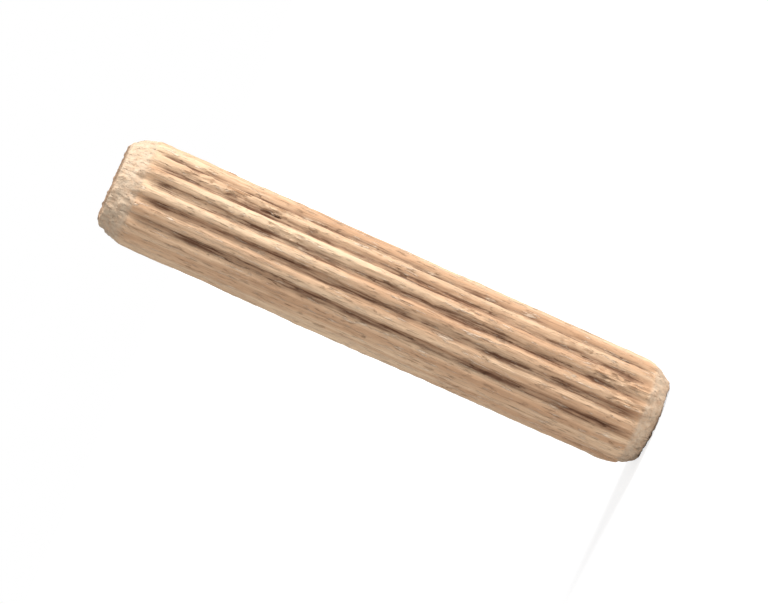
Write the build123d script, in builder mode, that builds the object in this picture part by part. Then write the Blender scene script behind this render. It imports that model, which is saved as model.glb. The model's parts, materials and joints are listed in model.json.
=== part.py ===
from build123d import *
import os

# A fluted hardwood dowel pin, standing along Z on the flat sawn end with the shorter chamfer.
# Sizes are in millimetres. The origin is in the middle of the end it stands on.

# Turned blank
pin_diameter = 9.525
pin_length = 50.8

# Flutes, pressed along the whole length and spaced evenly round the pin
flute_count = 17
flute_depth = 0.38
flute_bottom_radius = 0.38
rib_edge_radius = 0.03
first_flute_angle = 181

# The first few flutes, which the fluting ring hardly marked
faint_flute_count = 3
faint_flute_depth = 0.12

# Ends, chamfered after the flutes were pressed
top_chamfer_length = 2.2
foot_chamfer_length = 1.6
end_face_diameter = 7.2
chamfer_bulge = 0.15
rim_radius = 0.25

pin_radius = pin_diameter / 2
end_face_radius = end_face_diameter / 2
# The chamfers run out a little beyond the pin, so that they cut cleanly through its ribs
chamfer_outer_radius = pin_radius + 0.1

with BuildPart() as dowel_pin:
    # The fluted section
    with BuildSketch():
        # The circle is turned so that the first flute cuts away its seam
        with Locations(Rotation(0, 0, first_flute_angle)):
            Circle(pin_radius)
        for flute in range(flute_count):
            depth = faint_flute_depth if flute < faint_flute_count else flute_depth
            centre_radius = pin_radius + flute_bottom_radius - depth
            flute_angle = first_flute_angle + flute * 360 / flute_count
            with PolarLocations(centre_radius, 1, start_angle=flute_angle):
                Circle(flute_bottom_radius, mode=Mode.SUBTRACT)
        fillet(vertices(), rib_edge_radius)
    extrude(amount=pin_length)

    # The chamfered ends, which cut the flutes short
    with BuildSketch(Plane.XZ):
        with BuildLine():
            foot_chamfer = SagittaArc(
                (end_face_radius, 0), (chamfer_outer_radius, foot_chamfer_length), -chamfer_bulge)
            top_chamfer = SagittaArc(
                (chamfer_outer_radius, pin_length - top_chamfer_length), (end_face_radius, pin_length),
                -chamfer_bulge)
            Line(foot_chamfer @ 1, top_chamfer @ 0)
            Polyline(top_chamfer @ 1, (0, pin_length), (0, 0), foot_chamfer @ 0)
        make_face()
        fillet(vertices().group_by(Axis.X)[1], rim_radius)
    revolve(axis=Axis.Z, mode=Mode.INTERSECT)

dowel_pin.part.label = "dowel_pin"

os.makedirs("parts", exist_ok=True)
export_step(dowel_pin.part, "parts/dowel_pin.step")
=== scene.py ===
import json
import random
from math import atan2, cos, pi, radians, sin

import bmesh
import bpy
from mathutils import Matrix, Vector


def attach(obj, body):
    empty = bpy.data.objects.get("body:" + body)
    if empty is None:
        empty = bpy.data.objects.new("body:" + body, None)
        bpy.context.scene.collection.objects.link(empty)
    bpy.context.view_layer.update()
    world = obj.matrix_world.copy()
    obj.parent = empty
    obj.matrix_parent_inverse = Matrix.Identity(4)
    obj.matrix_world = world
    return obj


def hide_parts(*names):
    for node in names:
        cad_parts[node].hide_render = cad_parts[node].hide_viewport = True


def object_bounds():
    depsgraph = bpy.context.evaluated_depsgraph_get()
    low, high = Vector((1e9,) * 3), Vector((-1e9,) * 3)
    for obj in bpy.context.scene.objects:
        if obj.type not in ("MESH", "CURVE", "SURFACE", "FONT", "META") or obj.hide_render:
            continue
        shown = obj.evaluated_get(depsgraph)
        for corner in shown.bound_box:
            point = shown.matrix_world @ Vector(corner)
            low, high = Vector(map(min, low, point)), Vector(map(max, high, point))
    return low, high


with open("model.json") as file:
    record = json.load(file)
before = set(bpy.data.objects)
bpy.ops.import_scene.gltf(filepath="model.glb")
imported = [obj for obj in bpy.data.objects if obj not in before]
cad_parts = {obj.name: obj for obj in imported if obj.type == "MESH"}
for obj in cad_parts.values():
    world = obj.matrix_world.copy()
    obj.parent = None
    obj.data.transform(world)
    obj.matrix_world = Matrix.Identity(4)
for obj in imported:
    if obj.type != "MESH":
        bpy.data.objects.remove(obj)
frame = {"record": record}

bl_info = {
    "name": "Fluted Dowel Pin",
    "version": (1, 0, 0),
    "blender": (4, 5, 0),
    "location": "3D View > Sidebar > Dowel",
    "description": "Models a hardwood dowel pin with pressed flutes, rough chamfers and bare wood",
    "category": "Object",
}

cad_low, cad_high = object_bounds()
side = next(mount for mount in frame["record"]["mounts"] if mount["kind"] == "pin")
PIN_RADIUS = side["dims"]["r_mm"] / 1000
PIN_LENGTH = cad_high.z - cad_low.z
AXIS = Vector((0, 0, 0))
MIDDLE = Vector((0, 0, PIN_LENGTH / 2))


def srgb(red, green, blue):
    """A colour given as 0 to 255 on a screen, as the linear values that shaders use."""
    def linear(value):
        value /= 255
        return value / 12.92 if value <= 0.04045 else ((value + 0.055) / 1.055) ** 2.4
    return (linear(red), linear(green), linear(blue), 1.0)


# ---------------------------------------------------------------- settings

class DowelFluteSettings(bpy.types.PropertyGroup):
    count: bpy.props.IntProperty(
        name="Flutes", description="How many flutes run along the pin", default=17, min=3)
    depth: bpy.props.FloatProperty(
        name="Depth", description="How deep a flute is pressed", default=0.00052,
        unit="LENGTH", precision=5)
    faint_depth: bpy.props.FloatProperty(
        name="Faint depth", description="Depth of the flutes that were hardly marked",
        default=0.00010, unit="LENGTH", precision=5)
    first_angle: bpy.props.FloatProperty(
        name="First flute", description="Where the first flute is, turned from +X towards +Y",
        default=radians(181), subtype="ANGLE")
    faint_count: bpy.props.IntProperty(
        name="Faint flutes", description="How many flutes were hardly marked, starting with the first", default=3)
    half_width: bpy.props.FloatProperty(
        name="Half width", description="From a flute's middle to where its rib begins, round the axis",
        default=radians(8.8), subtype="ANGLE")
    steps_round: bpy.props.IntProperty(
        name="Steps in a flute", description="Mesh steps from one flute to the next", default=14)
    steps_along: bpy.props.IntProperty(
        name="Steps along", description="Mesh steps along the whole pin", default=220)


class DowelEndSettings(bpy.types.PropertyGroup):
    top_chamfer: bpy.props.FloatProperty(
        name="Top chamfer", description="Length of the chamfer at the top",
        default=0.0022, unit="LENGTH", precision=5)
    foot_chamfer: bpy.props.FloatProperty(
        name="Foot chamfer", description="Length of the chamfer at the foot",
        default=0.0016, unit="LENGTH", precision=5)
    face_radius: bpy.props.FloatProperty(
        name="End face radius", description="Radius of the flat sawn end",
        default=0.0036, unit="LENGTH", precision=5)
    shoulder_bevel: bpy.props.FloatProperty(
        name="Shoulder", description="Width of the rounding between the chamfer and the side",
        default=0.0011, unit="LENGTH", precision=5)


class DowelWoodSettings(bpy.types.PropertyGroup):
    pale: bpy.props.FloatVectorProperty(
        name="Pale wood", description="Colour of the lightest stripes of the grain",
        default=srgb(230, 200, 166), size=4, subtype="COLOR", min=0, max=1)
    tan: bpy.props.FloatVectorProperty(
        name="Tan wood", description="Colour of the darker stripes of the grain",
        default=srgb(196, 156, 122), size=4, subtype="COLOR", min=0, max=1)
    # Painted shade at the bottom of the flutes; the same dark colour also marks torn fibres and end-grain pores
    flute_shade_and_dark_marks: bpy.props.FloatVectorProperty(
        name="Flute shade and dark marks", description="Colour at the bottom of a flute",
        default=srgb(96, 62, 42), size=4, subtype="COLOR", min=0, max=1)
    fleck: bpy.props.FloatVectorProperty(
        name="Fleck", description="Colour of the short dark flecks",
        default=srgb(104, 68, 46), size=4, subtype="COLOR", min=0, max=1)
    chamfer: bpy.props.FloatVectorProperty(
        name="Chamfer", description="Colour of the rough chamfers",
        default=srgb(206, 186, 162), size=4, subtype="COLOR", min=0, max=1)
    chip: bpy.props.FloatVectorProperty(
        name="Chips", description="Colour of the small raised chips and torn fibres",
        default=srgb(240, 220, 196), size=4, subtype="COLOR", min=0, max=1)
    end_grain: bpy.props.FloatVectorProperty(
        name="End grain", description="Colour of the sawn ends",
        default=srgb(160, 132, 108), size=4, subtype="COLOR", min=0, max=1)


class DowelStageSettings(bpy.types.PropertyGroup):
    camera_elevation: bpy.props.FloatProperty(
        name="Camera elevation", description="Height of the camera above the horizon",
        default=radians(4), subtype="ANGLE")
    camera_roll: bpy.props.FloatProperty(
        name="Camera roll", description="Turn of the camera about its own view",
        default=radians(-66), subtype="ANGLE")
    camera_azimuth: bpy.props.FloatProperty(
        name="Camera azimuth", description="Turn of the camera round the pin",
        default=radians(0), subtype="ANGLE")
    camera_distance: bpy.props.FloatProperty(
        name="Camera distance", description="From the camera to the middle of the pin",
        default=0.43, unit="LENGTH")
    lens: bpy.props.FloatProperty(
        name="Lens", description="Focal length in millimetres", default=235)


# ---------------------------------------------------------------- modelling helpers

def deselect_all():
    if bpy.context.object and bpy.context.object.mode != "OBJECT":
        bpy.ops.object.mode_set(mode="OBJECT")
    bpy.ops.object.select_all(action="DESELECT")


def choose(test):
    """Select the vertices of the edited mesh whose place passes the test, and what they bound."""
    mesh = bpy.context.object.data
    shape = bmesh.from_edit_mesh(mesh)
    shape.select_mode = {"VERT"}
    for vertex in shape.verts:
        vertex.select = test(vertex.co)
    shape.select_flush_mode()
    bmesh.update_edit_mesh(mesh)


def turn_of(place, flutes):
    """How far round the pin a point is, counted in flutes from the first one."""
    return ((atan2(place.y, place.x) - flutes.first_angle) / (2 * pi) % 1) * flutes.count


def apply_modifier(kind, **settings):
    """Add a modifier to the active object, set it up and apply it."""
    piece = bpy.context.object
    modifier = piece.modifiers.new(kind.title(), kind)
    for name, value in settings.items():
        setattr(modifier, name, value)
    bpy.ops.object.modifier_apply(modifier=modifier.name)


def roughen(height, along, across, detail=2, kind="CLOUDS", group="", offset=0.0, seed=0):
    """Raise and sink the active piece's surface by a noise of the given size along and across."""
    piece = bpy.context.object
    texture = bpy.data.textures.new("roughness", kind)
    texture.noise_scale = 1.0
    if kind == "CLOUDS":
        texture.noise_depth = detail
    bpy.ops.object.empty_add(location=(seed * 0.37, seed * 0.11, seed * 0.23))
    guide = bpy.context.object
    guide.scale = (across, across, along)
    bpy.context.view_layer.update()
    deselect_all()
    piece.select_set(True)
    bpy.context.view_layer.objects.active = piece
    apply_modifier("DISPLACE", texture=texture, texture_coords="OBJECT", texture_coords_object=guide,
                   strength=height, mid_level=0.5 + offset, vertex_group=group)
    bpy.data.objects.remove(guide)
    bpy.data.textures.remove(texture)


def name_group(name, test):
    """Gather the points that pass the test in a vertex group of the active piece."""
    piece = bpy.context.object
    bpy.ops.object.mode_set(mode="EDIT")
    choose(test)
    group = piece.vertex_groups.new(name=name)
    piece.vertex_groups.active_index = group.index
    bpy.ops.object.vertex_group_assign()
    bpy.ops.object.mode_set(mode="OBJECT")


def is_torn(place, flutes):
    """Whether a point lies where the fluting ring tore the edge of a rib."""
    turn = turn_of(place, flutes)
    return any(low_z < place.z < high_z and abs(turn - middle) < width
               for low_z, high_z, middle, width in TORN_STRETCHES)


# ---------------------------------------------------------------- the pin

# Torn stretches of the ribs: from z, to z, and their middle and half width in flutes
TORN_STRETCHES = (
    (0.0429, 0.0459, 6.40, 0.25),
    (0.0359, 0.0419, 6.30, 0.22),
    (0.0339, 0.0374, 5.35, 0.20),
    (0.0269, 0.0294, 6.60, 0.16),
    (0.0159, 0.0194, 5.60, 0.18),
    (0.0076, 0.0104, 6.45, 0.20),
    (0.0018, 0.0069, 5.50, 0.30),
    (0.0016, 0.0049, 4.60, 0.25),
    (0.0219, 0.0244, 11.4, 0.22),
    (0.0414, 0.0449, 13.5, 0.20),
)


def turned_blank(ends):
    """The smooth turned pin with its two chamfers, which limits how far the fluted bar may reach."""
    deselect_all()
    low_z, high_z = ends.foot_chamfer, PIN_LENGTH - ends.top_chamfer
    bpy.ops.mesh.primitive_cylinder_add(
        vertices=256, radius=PIN_RADIUS, depth=high_z - low_z, location=(0, 0, (low_z + high_z) / 2))
    blank = bpy.context.object
    bpy.ops.object.transform_apply(location=True, rotation=True, scale=True)
    bpy.ops.object.mode_set(mode="EDIT")
    shrink = ends.face_radius / PIN_RADIUS
    for edge_z, length in ((low_z, -ends.foot_chamfer), (high_z, ends.top_chamfer)):
        choose(lambda place: abs(place.z - edge_z) < 1e-6)
        bpy.ops.mesh.extrude_region_move(TRANSFORM_OT_translate={"value": (0, 0, length)})
        bpy.ops.transform.resize(value=(shrink, shrink, 1), center_override=AXIS)
    for edge_z in (low_z, high_z):
        choose(lambda place: abs(place.z - edge_z) < 1e-6)
        bpy.ops.mesh.bevel(offset=ends.shoulder_bevel, segments=5, affect="EDGES")
    for end_z in (0, PIN_LENGTH):
        choose(lambda place: abs(place.z - end_z) < 1e-6)
        bpy.ops.mesh.bevel(offset=0.00042, segments=4, affect="EDGES")
    bpy.ops.object.mode_set(mode="OBJECT")
    return blank


def press_flutes(flutes):
    """Scale the ring's points towards the axis to give it the section of the flutes."""
    for flute in range(flutes.count):
        is_faint = flute < flutes.faint_count
        depth = flutes.faint_depth if is_faint else flutes.depth * random.uniform(0.82, 1.08)
        drift = random.uniform(-0.05, 0.05)
        for step in range(-flutes.steps_round // 2 + 1, flutes.steps_round // 2):
            share = step / flutes.steps_round
            away = abs(share - drift) * 2 * pi / flutes.count / flutes.half_width
            if away >= 1:
                continue
            scale = 1 - depth * cos(away * pi / 2) ** 1.7 / PIN_RADIUS
            wanted = flute + share
            choose(lambda place: abs((turn_of(place, flutes) - wanted + 0.5) % flutes.count - 0.5) < 0.01)
            bpy.ops.transform.resize(value=(scale, scale, 1), center_override=AXIS)


def fluted_bar(flutes):
    """A bar of the fluted section, a little longer than the pin and closed by rings at its ends."""
    overhang = 0.0013
    low_z, high_z = -overhang, PIN_LENGTH + overhang
    deselect_all()
    bpy.ops.mesh.primitive_circle_add(
        vertices=flutes.count * flutes.steps_round, radius=PIN_RADIUS,
        location=(0, 0, low_z), rotation=(0, 0, flutes.first_angle - pi / 2))
    bar = bpy.context.object
    bpy.ops.object.transform_apply(location=True, rotation=True, scale=True)
    bpy.ops.object.mode_set(mode="EDIT")
    press_flutes(flutes)
    bpy.ops.object.mode_set(mode="OBJECT")
    apply_modifier("SCREW", axis="Z", angle=0, screw_offset=high_z - low_z, steps=flutes.steps_along,
                   render_steps=flutes.steps_along, use_merge_vertices=False)
    bpy.ops.object.mode_set(mode="EDIT")
    for end_z in (low_z, high_z):
        choose(lambda place: abs(place.z - end_z) < 1e-6)
        for ring in range(15, 0, -1):
            scale = ring / (ring + 1)
            bpy.ops.mesh.extrude_region_move(TRANSFORM_OT_translate={"value": (0, 0, 0)})
            bpy.ops.transform.resize(value=(scale, scale, 1), center_override=AXIS)
        bpy.ops.mesh.merge(type="CENTER")
    bpy.ops.object.mode_set(mode="OBJECT")
    return bar


class DOWEL_OT_model_pin(bpy.types.Operator):
    """Model the pin: press the flutes, turn the chamfers and roughen the wood"""
    bl_idname = "dowel.model_pin"
    bl_label = "Model the pin"

    def execute(self, context):
        flutes, ends = context.scene.dowel_flutes, context.scene.dowel_ends
        random.seed(4)
        blank = turned_blank(ends)
        pin = fluted_bar(flutes)
        pin.name = "fluted_pin"
        apply_modifier("SHRINKWRAP", target=blank, wrap_method="NEAREST_SURFACEPOINT",
                       wrap_mode="INSIDE")
        bpy.data.objects.remove(blank)
        bpy.ops.object.mode_set(mode="EDIT")
        bpy.ops.mesh.select_all(action="SELECT")
        bpy.ops.mesh.remove_doubles(threshold=2e-6)
        bpy.ops.mesh.normals_make_consistent(inside=False)
        bpy.ops.object.mode_set(mode="OBJECT")

        name_group("ends", lambda place: not ends.foot_chamfer < place.z < PIN_LENGTH - ends.top_chamfer)
        name_group("torn", lambda place: is_torn(place, flutes))
        roughen(0.00022, along=0.011, across=0.0011, seed=1)
        roughen(0.00017, along=0.0022, across=0.00036, seed=2)
        roughen(0.00012, along=0.0010, across=0.00020, detail=3, seed=7)
        roughen(0.00042, along=0.0007, across=0.0006, detail=3, group="ends", offset=0.15, seed=3)
        roughen(0.00075, along=0.0014, across=0.00032, detail=3, group="torn", offset=0.08, seed=5)
        # The foot stands flat: nothing reaches below the floor
        bpy.ops.object.mode_set(mode="EDIT")
        choose(lambda place: place.z < 0)
        bpy.ops.transform.resize(value=(1, 1, 0), center_override=AXIS)
        bpy.ops.object.mode_set(mode="OBJECT")
        bpy.ops.object.shade_smooth_by_angle(angle=radians(50))
        pin.data.materials.clear()
        pin.data.materials.append(bare_wood(context.scene.dowel_wood, flutes, ends))
        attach(pin, "root")
        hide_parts("dowel_pin")
        return {"FINISHED"}


# ---------------------------------------------------------------- materials

class Value:
    """A socket that can be used in sums, each of which adds its Math node."""

    def __init__(self, shader, socket):
        self.shader, self.socket = shader, socket

    def _sum(self, operation, first, second):
        return self.shader.add("ShaderNodeMath", {"operation": operation}, {0: first, 1: second})

    def __add__(self, other):
        return self._sum("ADD", self, other)

    __radd__ = __add__

    def __sub__(self, other):
        return self._sum("SUBTRACT", self, other)

    def __rsub__(self, other):
        return self._sum("SUBTRACT", other, self)

    def __mul__(self, other):
        return self._sum("MULTIPLY", self, other)

    __rmul__ = __mul__

    def __truediv__(self, other):
        return self._sum("DIVIDE", self, other)

    def __pow__(self, other):
        return self._sum("POWER", self, other)

    def __abs__(self):
        return self.shader.add("ShaderNodeMath", {"operation": "ABSOLUTE"}, {0: self})

    def smooth(self, low, high):
        """0 below low and 1 above high, with a soft step between."""
        return self.shader.add(
            "ShaderNodeMapRange", {"interpolation_type": "SMOOTHSTEP"},
            {"Value": self, "From Min": low, "From Max": high})


class Shader:
    """A material's node tree, built by short calls."""

    def __init__(self, name):
        self.material = bpy.data.materials.new(name)
        self.material.use_nodes = True
        self.tree = self.material.node_tree
        self.tree.nodes.clear()

    def add(self, kind, settings=None, inputs=None, output=0):
        """Add a node of a kind with its settings and inputs, and give one of its outputs."""
        node = self.tree.nodes.new(kind)
        for name, value in (settings or {}).items():
            setattr(node, name, value)
        for name, value in (inputs or {}).items():
            if isinstance(value, Value):
                self.tree.links.new(value.socket, node.inputs[name])
            else:
                node.inputs[name].default_value = value
        return Value(self, node.outputs[output]) if node.outputs else None

    def mix(self, share, first, second, blend="MIX"):
        """Mix two colours."""
        return self.add("ShaderNodeMix", {"data_type": "RGBA", "blend_type": blend},
                        {0: share, 6: first, 7: second}, output=2)

    def noise(self, place, along, across, detail=3, rough=0.5, shift=0.0):
        """Noise from 0 to 1 with its grains as long and as wide as given."""
        spread = self.add("ShaderNodeMapping", {},
                          {"Vector": place, "Location": (shift, shift, shift),
                           "Scale": (1 / across, 1 / across, 1 / along)})
        return self.add("ShaderNodeTexNoise", {},
                        {"Vector": spread, "Scale": 1.0, "Detail": detail, "Roughness": rough})


def bare_wood(wood, flutes, ends):
    """Bare hardwood with long grain, flutes darkened with painted shade, rough pale chamfers and end grain."""
    shader = Shader("bare_wood")
    place = shader.add("ShaderNodeTexCoord", output=3)
    centred = shader.add("ShaderNodeMapping", {}, {"Vector": place, "Location": -MIDDLE})
    x, y, z = (shader.add("ShaderNodeSeparateXYZ", {}, {0: centred}, output=axis) for axis in range(3))
    radius = (x * x + y * y) ** 0.5

    end_z = PIN_LENGTH / 2
    top_edge, foot_edge = end_z - ends.top_chamfer, end_z - ends.foot_chamfer
    on_top = z.smooth(top_edge - 0.0003, top_edge + 0.0002)
    on_foot = (z * -1).smooth(foot_edge - 0.0003, foot_edge + 0.0002)
    on_chamfer = on_top + on_foot
    straight = 1 - abs(z + (ends.top_chamfer - ends.foot_chamfer) / 2).smooth(end_z - 0.0040, end_z - 0.0016)
    on_face = abs(z).smooth(end_z - 0.00022, end_z - 0.00005)
    # How far a point sits down in a flute; this mask lays painted shade into the flutes
    depth = (PIN_RADIUS - radius) / flutes.depth
    flute_shade_mask = depth.smooth(0.18, 0.90) * straight

    stripes = shader.noise(centred, 0.030, 0.0007, detail=3)
    patches = shader.noise(centred, 0.014, 0.0030, detail=2, shift=3.0)
    fibres = shader.noise(centred, 0.0028, 0.00010, detail=4, rough=0.6, shift=7.0)
    flecks = shader.noise(centred, 0.0016, 0.00013, detail=1, shift=11.0).smooth(0.66, 0.74)

    grain = (stripes * 0.6 + patches * 0.4).smooth(0.36, 0.64)
    colour = shader.mix(grain, wood.tan[:], wood.pale[:])
    colour = shader.mix(fibres.smooth(0.35, 0.75) * 0.35, colour, wood.tan[:])
    streaks = shader.noise(centred, 0.0045, 0.00028, detail=4, rough=0.6, shift=17.0).smooth(0.40, 0.62)
    lines = shader.noise(centred, 0.0090, 0.00016, detail=3, rough=0.6, shift=13.0).smooth(0.52, 0.66)
    colour = shader.mix(lines * 0.30, colour, wood.fleck[:])
    # Painted shade: the flutes darken towards their bottoms, broken up by streaks
    colour = shader.mix(flute_shade_mask * (0.38 + streaks * 0.6), colour, wood.flute_shade_and_dark_marks[:])
    colour = shader.mix(flecks * 0.45, colour, wood.fleck[:])
    torn = shader.noise(centred, 0.0018, 0.00035, detail=3, rough=0.6, shift=23.0).smooth(0.62, 0.70)
    # Dark torn marks, with extra painted shade where they lie in a flute
    colour = shader.mix(torn * (0.25 + flute_shade_mask * 0.5), colour, wood.flute_shade_and_dark_marks[:])
    chips = shader.noise(centred, 0.0016, 0.00022, detail=3, rough=0.6, shift=29.0).smooth(0.58, 0.70)
    # Pale chips and torn fibres, kept off the chamfers and held back in the flutes by the painted shade
    colour = shader.mix(chips * 0.7 * (1 - on_chamfer) * (1 - flute_shade_mask * 0.6), colour, wood.chip[:])
    crushed = shader.noise(centred, 0.0005, 0.0005, detail=4, rough=0.65, shift=5.0)
    dusty = shader.mix(crushed.smooth(0.35, 0.7) * 0.5, wood.chamfer[:], wood.tan[:])
    colour = shader.mix(on_chamfer * 0.85, colour, dusty)

    rings = shader.add("ShaderNodeTexWave", {"wave_type": "RINGS", "rings_direction": "Z"},
                       {"Vector": shader.add("ShaderNodeMapping", {}, {"Vector": centred, "Location": (0.012, 0.016, 0)}),
                        "Scale": 190.0, "Distortion": 2.0, "Detail": 2.0, "Detail Scale": 300.0}, output=1)
    pores = shader.noise(centred, 0.00022, 0.00022, detail=3, rough=0.6, shift=9.0).smooth(0.5, 0.68)
    sawn = shader.mix(rings * 0.5, wood.end_grain[:], wood.tan[:])
    sawn = shader.mix(pores * 0.5, sawn, wood.flute_shade_and_dark_marks[:])
    colour = shader.mix(on_face * 0.9, colour, sawn)

    bumps = fibres * 0.7 + chips * 1.2 - torn * 1.5 + crushed * on_chamfer * 1.6 + flecks * -0.8 + pores * on_face * -1.0
    normal = shader.add("ShaderNodeBump", {}, {"Height": bumps, "Strength": 0.7, "Distance": 0.00016})
    surface = shader.add("ShaderNodeBsdfPrincipled", {},
                         {"Base Color": colour, "Roughness": 0.62 + fibres * 0.25,
                          "Normal": normal, "Specular IOR Level": 0.25})
    shader.add("ShaderNodeOutputMaterial", {}, {"Surface": surface})
    return shader.material


def white_paper():
    """A matt white floor that still takes the pin's shadow."""
    shader = Shader("white_paper")
    seen = shader.add("ShaderNodeLightPath", output=0)
    matt = shader.add("ShaderNodeBsdfDiffuse", {}, {"Color": (0.86, 0.86, 0.87, 1)})
    glow = shader.add("ShaderNodeEmission", {}, {"Color": (1, 1, 1, 1), "Strength": 1.3})
    place = shader.add("ShaderNodeTexCoord", output=3)
    distance = shader.add("ShaderNodeVectorMath", {"operation": "LENGTH"}, {0: place}, output=1)
    share = 0.58 + distance.smooth(0.06, 0.30) * 0.42
    surface = shader.add("ShaderNodeMixShader", {}, {0: seen * share, 1: matt, 2: glow})
    shader.add("ShaderNodeOutputMaterial", {}, {"Surface": surface})
    return shader.material


# ---------------------------------------------------------------- the stage

def add_lamp(name, direction, size, power):
    """An area lamp half a metre from the pin, turned to face it."""
    deselect_all()
    place = MIDDLE + Vector(direction).normalized() * 0.5
    bpy.ops.object.light_add(type="AREA", location=place)
    lamp = bpy.context.object
    lamp.name = name
    lamp.data.size = size
    lamp.data.energy = power
    lamp.rotation_euler = (MIDDLE - place).to_track_quat("-Z", "Y").to_euler()


class DOWEL_OT_set_stage(bpy.types.Operator):
    """Lay the floor, hang the lamps and place the camera"""
    bl_idname = "dowel.set_stage"
    bl_label = "Set the stage"

    def execute(self, context):
        stage = context.scene.dowel_stage
        deselect_all()
        bpy.ops.mesh.primitive_plane_add(size=3.0, location=(0, 0, -0.00002))
        floor = context.object
        floor.name = "floor"
        bpy.ops.object.transform_apply(location=True, rotation=True, scale=True)
        floor.data.materials.append(white_paper())

        add_lamp("key_lamp", (0.85, -0.25, 0.75), 0.28, 3.7)
        add_lamp("fill_lamp", (-0.2, -1.0, 0.4), 0.6, 0.5)

        world = context.scene.world or bpy.data.worlds.new("world")
        context.scene.world = world
        world.use_nodes = True
        nodes, links = world.node_tree.nodes, world.node_tree.links
        nodes["Background"].inputs["Color"].default_value = (1, 1, 1, 1)
        seen = nodes.new("ShaderNodeLightPath").outputs["Is Camera Ray"]
        strength = nodes.new("ShaderNodeMapRange")
        strength.inputs["To Min"].default_value = 0.45
        strength.inputs["To Max"].default_value = 1.0
        links.new(seen, strength.inputs["Value"])
        links.new(strength.outputs[0], nodes["Background"].inputs["Strength"])

        elevation, azimuth = stage.camera_elevation, stage.camera_azimuth
        back = Vector((sin(azimuth) * cos(elevation), -cos(azimuth) * cos(elevation), sin(elevation)))
        bpy.ops.object.camera_add(location=MIDDLE + back * stage.camera_distance)
        camera = context.object
        camera.data.lens = stage.lens
        camera.data.clip_start, camera.data.clip_end = 0.01, 10
        turn = (-back).to_track_quat("-Z", "Y").to_matrix().to_4x4()
        roll = turn @ Matrix.Rotation(stage.camera_roll, 4, "Z")
        camera.rotation_euler = roll.to_euler()
        context.scene.camera = camera
        context.scene.view_settings.view_transform = "Standard"
        return {"FINISHED"}


class DOWEL_PT_panel(bpy.types.Panel):
    bl_idname = "DOWEL_PT_panel"
    bl_label = "Fluted dowel pin"
    bl_space_type = "VIEW_3D"
    bl_region_type = "UI"
    bl_category = "Dowel"

    def draw(self, context):
        for operator in (DOWEL_OT_model_pin, DOWEL_OT_set_stage):
            self.layout.operator(operator.bl_idname)
        for group in ("dowel_flutes", "dowel_ends", "dowel_wood", "dowel_stage"):
            settings = getattr(context.scene, group)
            for name in settings.__annotations__:
                self.layout.prop(settings, name)


SETTINGS = {
    "dowel_flutes": DowelFluteSettings,
    "dowel_ends": DowelEndSettings,
    "dowel_wood": DowelWoodSettings,
    "dowel_stage": DowelStageSettings,
}
CLASSES = (*SETTINGS.values(), DOWEL_OT_model_pin, DOWEL_OT_set_stage, DOWEL_PT_panel)


def register():
    for cls in CLASSES:
        bpy.utils.register_class(cls)
    for name, cls in SETTINGS.items():
        setattr(bpy.types.Scene, name, bpy.props.PointerProperty(type=cls))


def unregister():
    for name in SETTINGS:
        delattr(bpy.types.Scene, name)
    for cls in reversed(CLASSES):
        bpy.utils.unregister_class(cls)


def main():
    register()
    bpy.ops.dowel.model_pin()
    bpy.ops.dowel.set_stage()


if __name__ == "__main__":
    main()
